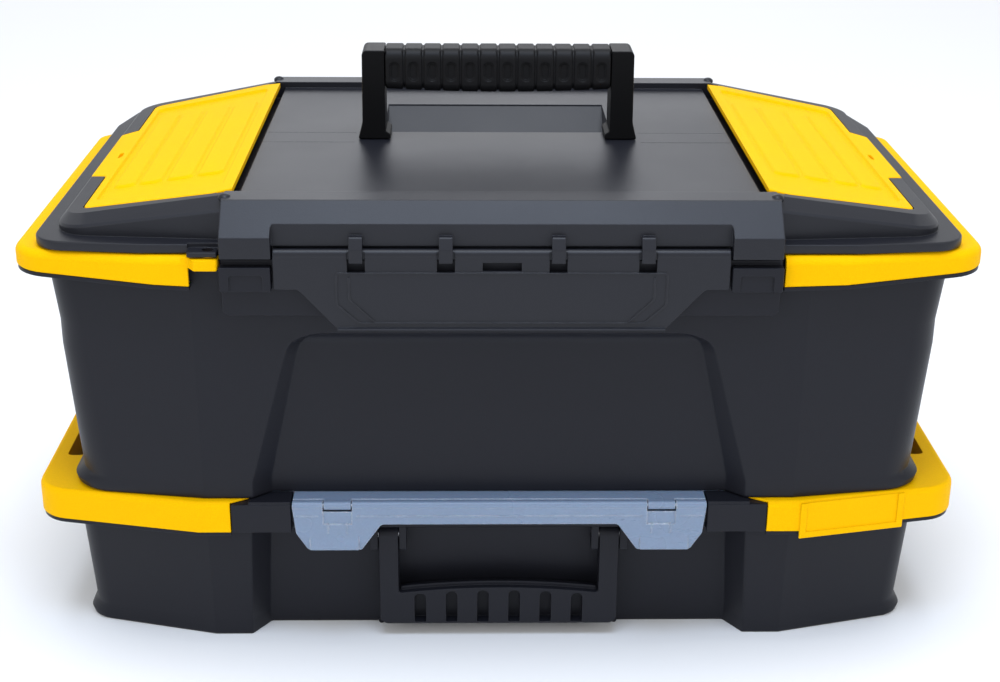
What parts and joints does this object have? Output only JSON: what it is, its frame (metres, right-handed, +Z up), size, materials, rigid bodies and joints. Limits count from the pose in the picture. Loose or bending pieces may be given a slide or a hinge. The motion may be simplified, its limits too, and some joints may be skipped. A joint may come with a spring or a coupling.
{
  "type": "stackable tool box",
  "caption": "Deep lidded tool box with a top handle and corner compartments, stacked on a shallow organizer box with a clear lid and a folding handle.",
  "frame": {"origin": "middle of the footprint, on the floor under the organizer", "axes": "+X to the right along the width, -Y out of the front with the latches, +Z up"},
  "size_m": [0.517, 0.3112, 0.313],
  "materials": {
    "charcoal_body": "moulded polypropylene with a fine grain",
    "charcoal_lid": "moulded polypropylene with a fine grain",
    "charcoal_handle": "moulded polypropylene, slightly polished edges",
    "black_handle": "moulded nylon, satin",
    "black_grip": "soft ribbed over-mould",
    "yellow_trim": "moulded polypropylene, satin",
    "yellow_cover": "moulded polypropylene, satin",
    "yellow_tray": "moulded polypropylene, satin",
    "clear_lid": "translucent polypropylene with a bluish cast",
    "clear_divider": "translucent polypropylene",
    "steel_pin": "drawn wire"
  },
  "bodies": {
    "organizer": {"lower_tub": "charcoal_body", "long_divider_front": "clear_divider", "long_divider_rear": "clear_divider", "lower_side_handle_left": "yellow_trim", "lower_side_handle_right": "yellow_trim", "carry_handle_pin_left": "steel_pin", "carry_handle_pin_right": "steel_pin", "lower_hinge_pin_left": "steel_pin", "lower_hinge_pin_right": "steel_pin", "cross_divider_front_left": "clear_divider", "cross_divider_front_right": "clear_divider", "cross_divider_middle_left": "clear_divider", "cross_divider_middle_right": "clear_divider", "cross_divider_rear_left": "clear_divider", "cross_divider_rear_right": "clear_divider"},
    "organizer_lid": {"lower_lid": "clear_lid", "lower_latch_pin": "steel_pin"},
    "organizer_latch": {"lower_latch": "clear_lid"},
    "folding_handle": {"carry_handle": "charcoal_handle"},
    "tool_box": {"upper_tub": "charcoal_body", "lift_out_tray": "yellow_tray", "upper_side_handle_left": "yellow_trim", "upper_side_handle_right": "yellow_trim", "lid_hinge_pin_left": "steel_pin", "lid_hinge_pin_right": "steel_pin"},
    "tool_box_lid": {"upper_lid": "charcoal_lid", "top_handle": "black_handle", "handle_grip": "black_grip", "compartment_lid_pin_left": "steel_pin", "compartment_lid_pin_right": "steel_pin"},
    "tool_box_latch": {"front_latch": "charcoal_lid"},
    "compartment_cover_left": {"compartment_lid_left": "yellow_cover"},
    "compartment_cover_right": {"compartment_lid_right": "yellow_cover"}
  },
  "joints": [
    {"name": "tool_box_lift_off", "type": "slide", "parent": "organizer", "child": "tool_box", "axis": [0, 0, 1], "range_m": [0, 0.6]},
    {"name": "organizer_lid_hinge", "type": "hinge", "parent": "organizer", "child": "organizer_lid", "pos_m": [0, 0.1462, 0.09], "axis": [-1, 0, 0], "range_deg": [0, 95]},
    {"name": "organizer_latch_hinge", "type": "hinge", "parent": "organizer_lid", "child": "organizer_latch", "pos_m": [0, -0.14, 0.0898], "axis": [-1, 0, 0], "range_deg": [0, 100]},
    {"name": "folding_handle_hinge", "type": "hinge", "parent": "organizer", "child": "folding_handle", "pos_m": [0, -0.125, 0.0645], "axis": [-1, 0, 0], "range_deg": [0, 90]},
    {"name": "tool_box_lid_hinge", "type": "hinge", "parent": "tool_box", "child": "tool_box_lid", "pos_m": [0, 0.1508, 0.2388], "axis": [-1, 0, 0], "range_deg": [0, 100]},
    {"name": "tool_box_latch_hinge", "type": "hinge", "parent": "tool_box_lid", "child": "tool_box_latch", "pos_m": [0, -0.1508, 0.2388], "axis": [-1, 0, 0], "range_deg": [0, 100]},
    {"name": "cover_hinge_left", "type": "hinge", "parent": "tool_box_lid", "child": "compartment_cover_left", "pos_m": [-0.144, 0, 0.2598], "axis": [0, 1, 0], "range_deg": [0, 110]},
    {"name": "cover_hinge_right", "type": "hinge", "parent": "tool_box_lid", "child": "compartment_cover_right", "pos_m": [0.144, 0, 0.2598], "axis": [0, -1, 0], "range_deg": [0, 110]}
  ],
  "couplings": [
    {"joint": "organizer_lid_hinge", "follows": "tool_box_lift_off", "rad_per_m": 2.75}
  ]
}
